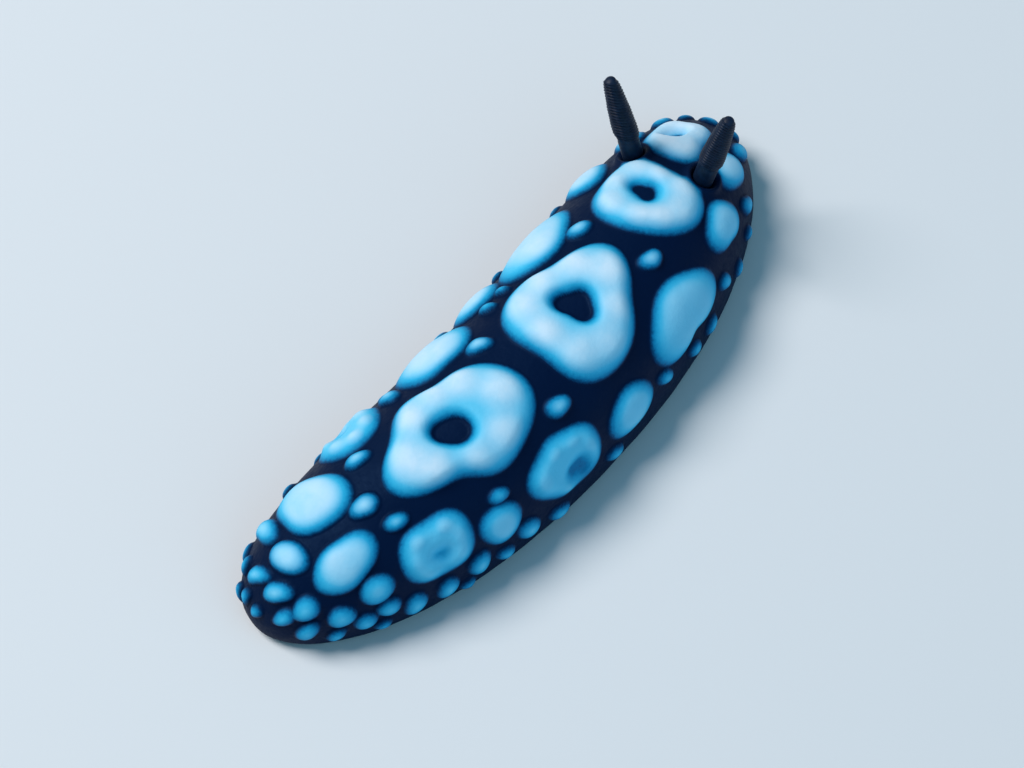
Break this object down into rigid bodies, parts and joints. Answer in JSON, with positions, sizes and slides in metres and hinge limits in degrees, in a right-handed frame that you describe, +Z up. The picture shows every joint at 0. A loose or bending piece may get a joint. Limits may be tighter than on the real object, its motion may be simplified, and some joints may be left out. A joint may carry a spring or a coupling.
{
  "type": "sea slug",
  "caption": "Life-size still sea slug, black with raised pale ring warts and black feelers, bent in a slow curve and resting on its flat sole.",
  "frame": {"origin": "middle of the animal's box in plan, on the ground under its sole", "axes": "+X towards the head, +Y towards the animal's left, +Z up from the sole"},
  "size_m": [0.028, 0.009, 0.0079],
  "materials": {
    "mantle": "firm wet skin, blue black with pale bluish white warts that grade through blue at their edges, soft sheen",
    "feeler": "matt blue black leaves of skin",
    "sole": "smooth wet dark grey skin",
    "gill": "soft thin grey leaves"
  },
  "bodies": {
    "root": {"mantle_head": "mantle", "mantle_fore": "mantle", "mantle_hind": "mantle", "mantle_tail": "mantle", "rhinophore_left": "feeler", "rhinophore_right": "feeler", "foot": "sole", "mouth": "sole", "oral_tentacle_left": "sole", "oral_tentacle_right": "sole", "gills_left": "gill", "gills_right": "gill"}
  },
  "joints": []
}
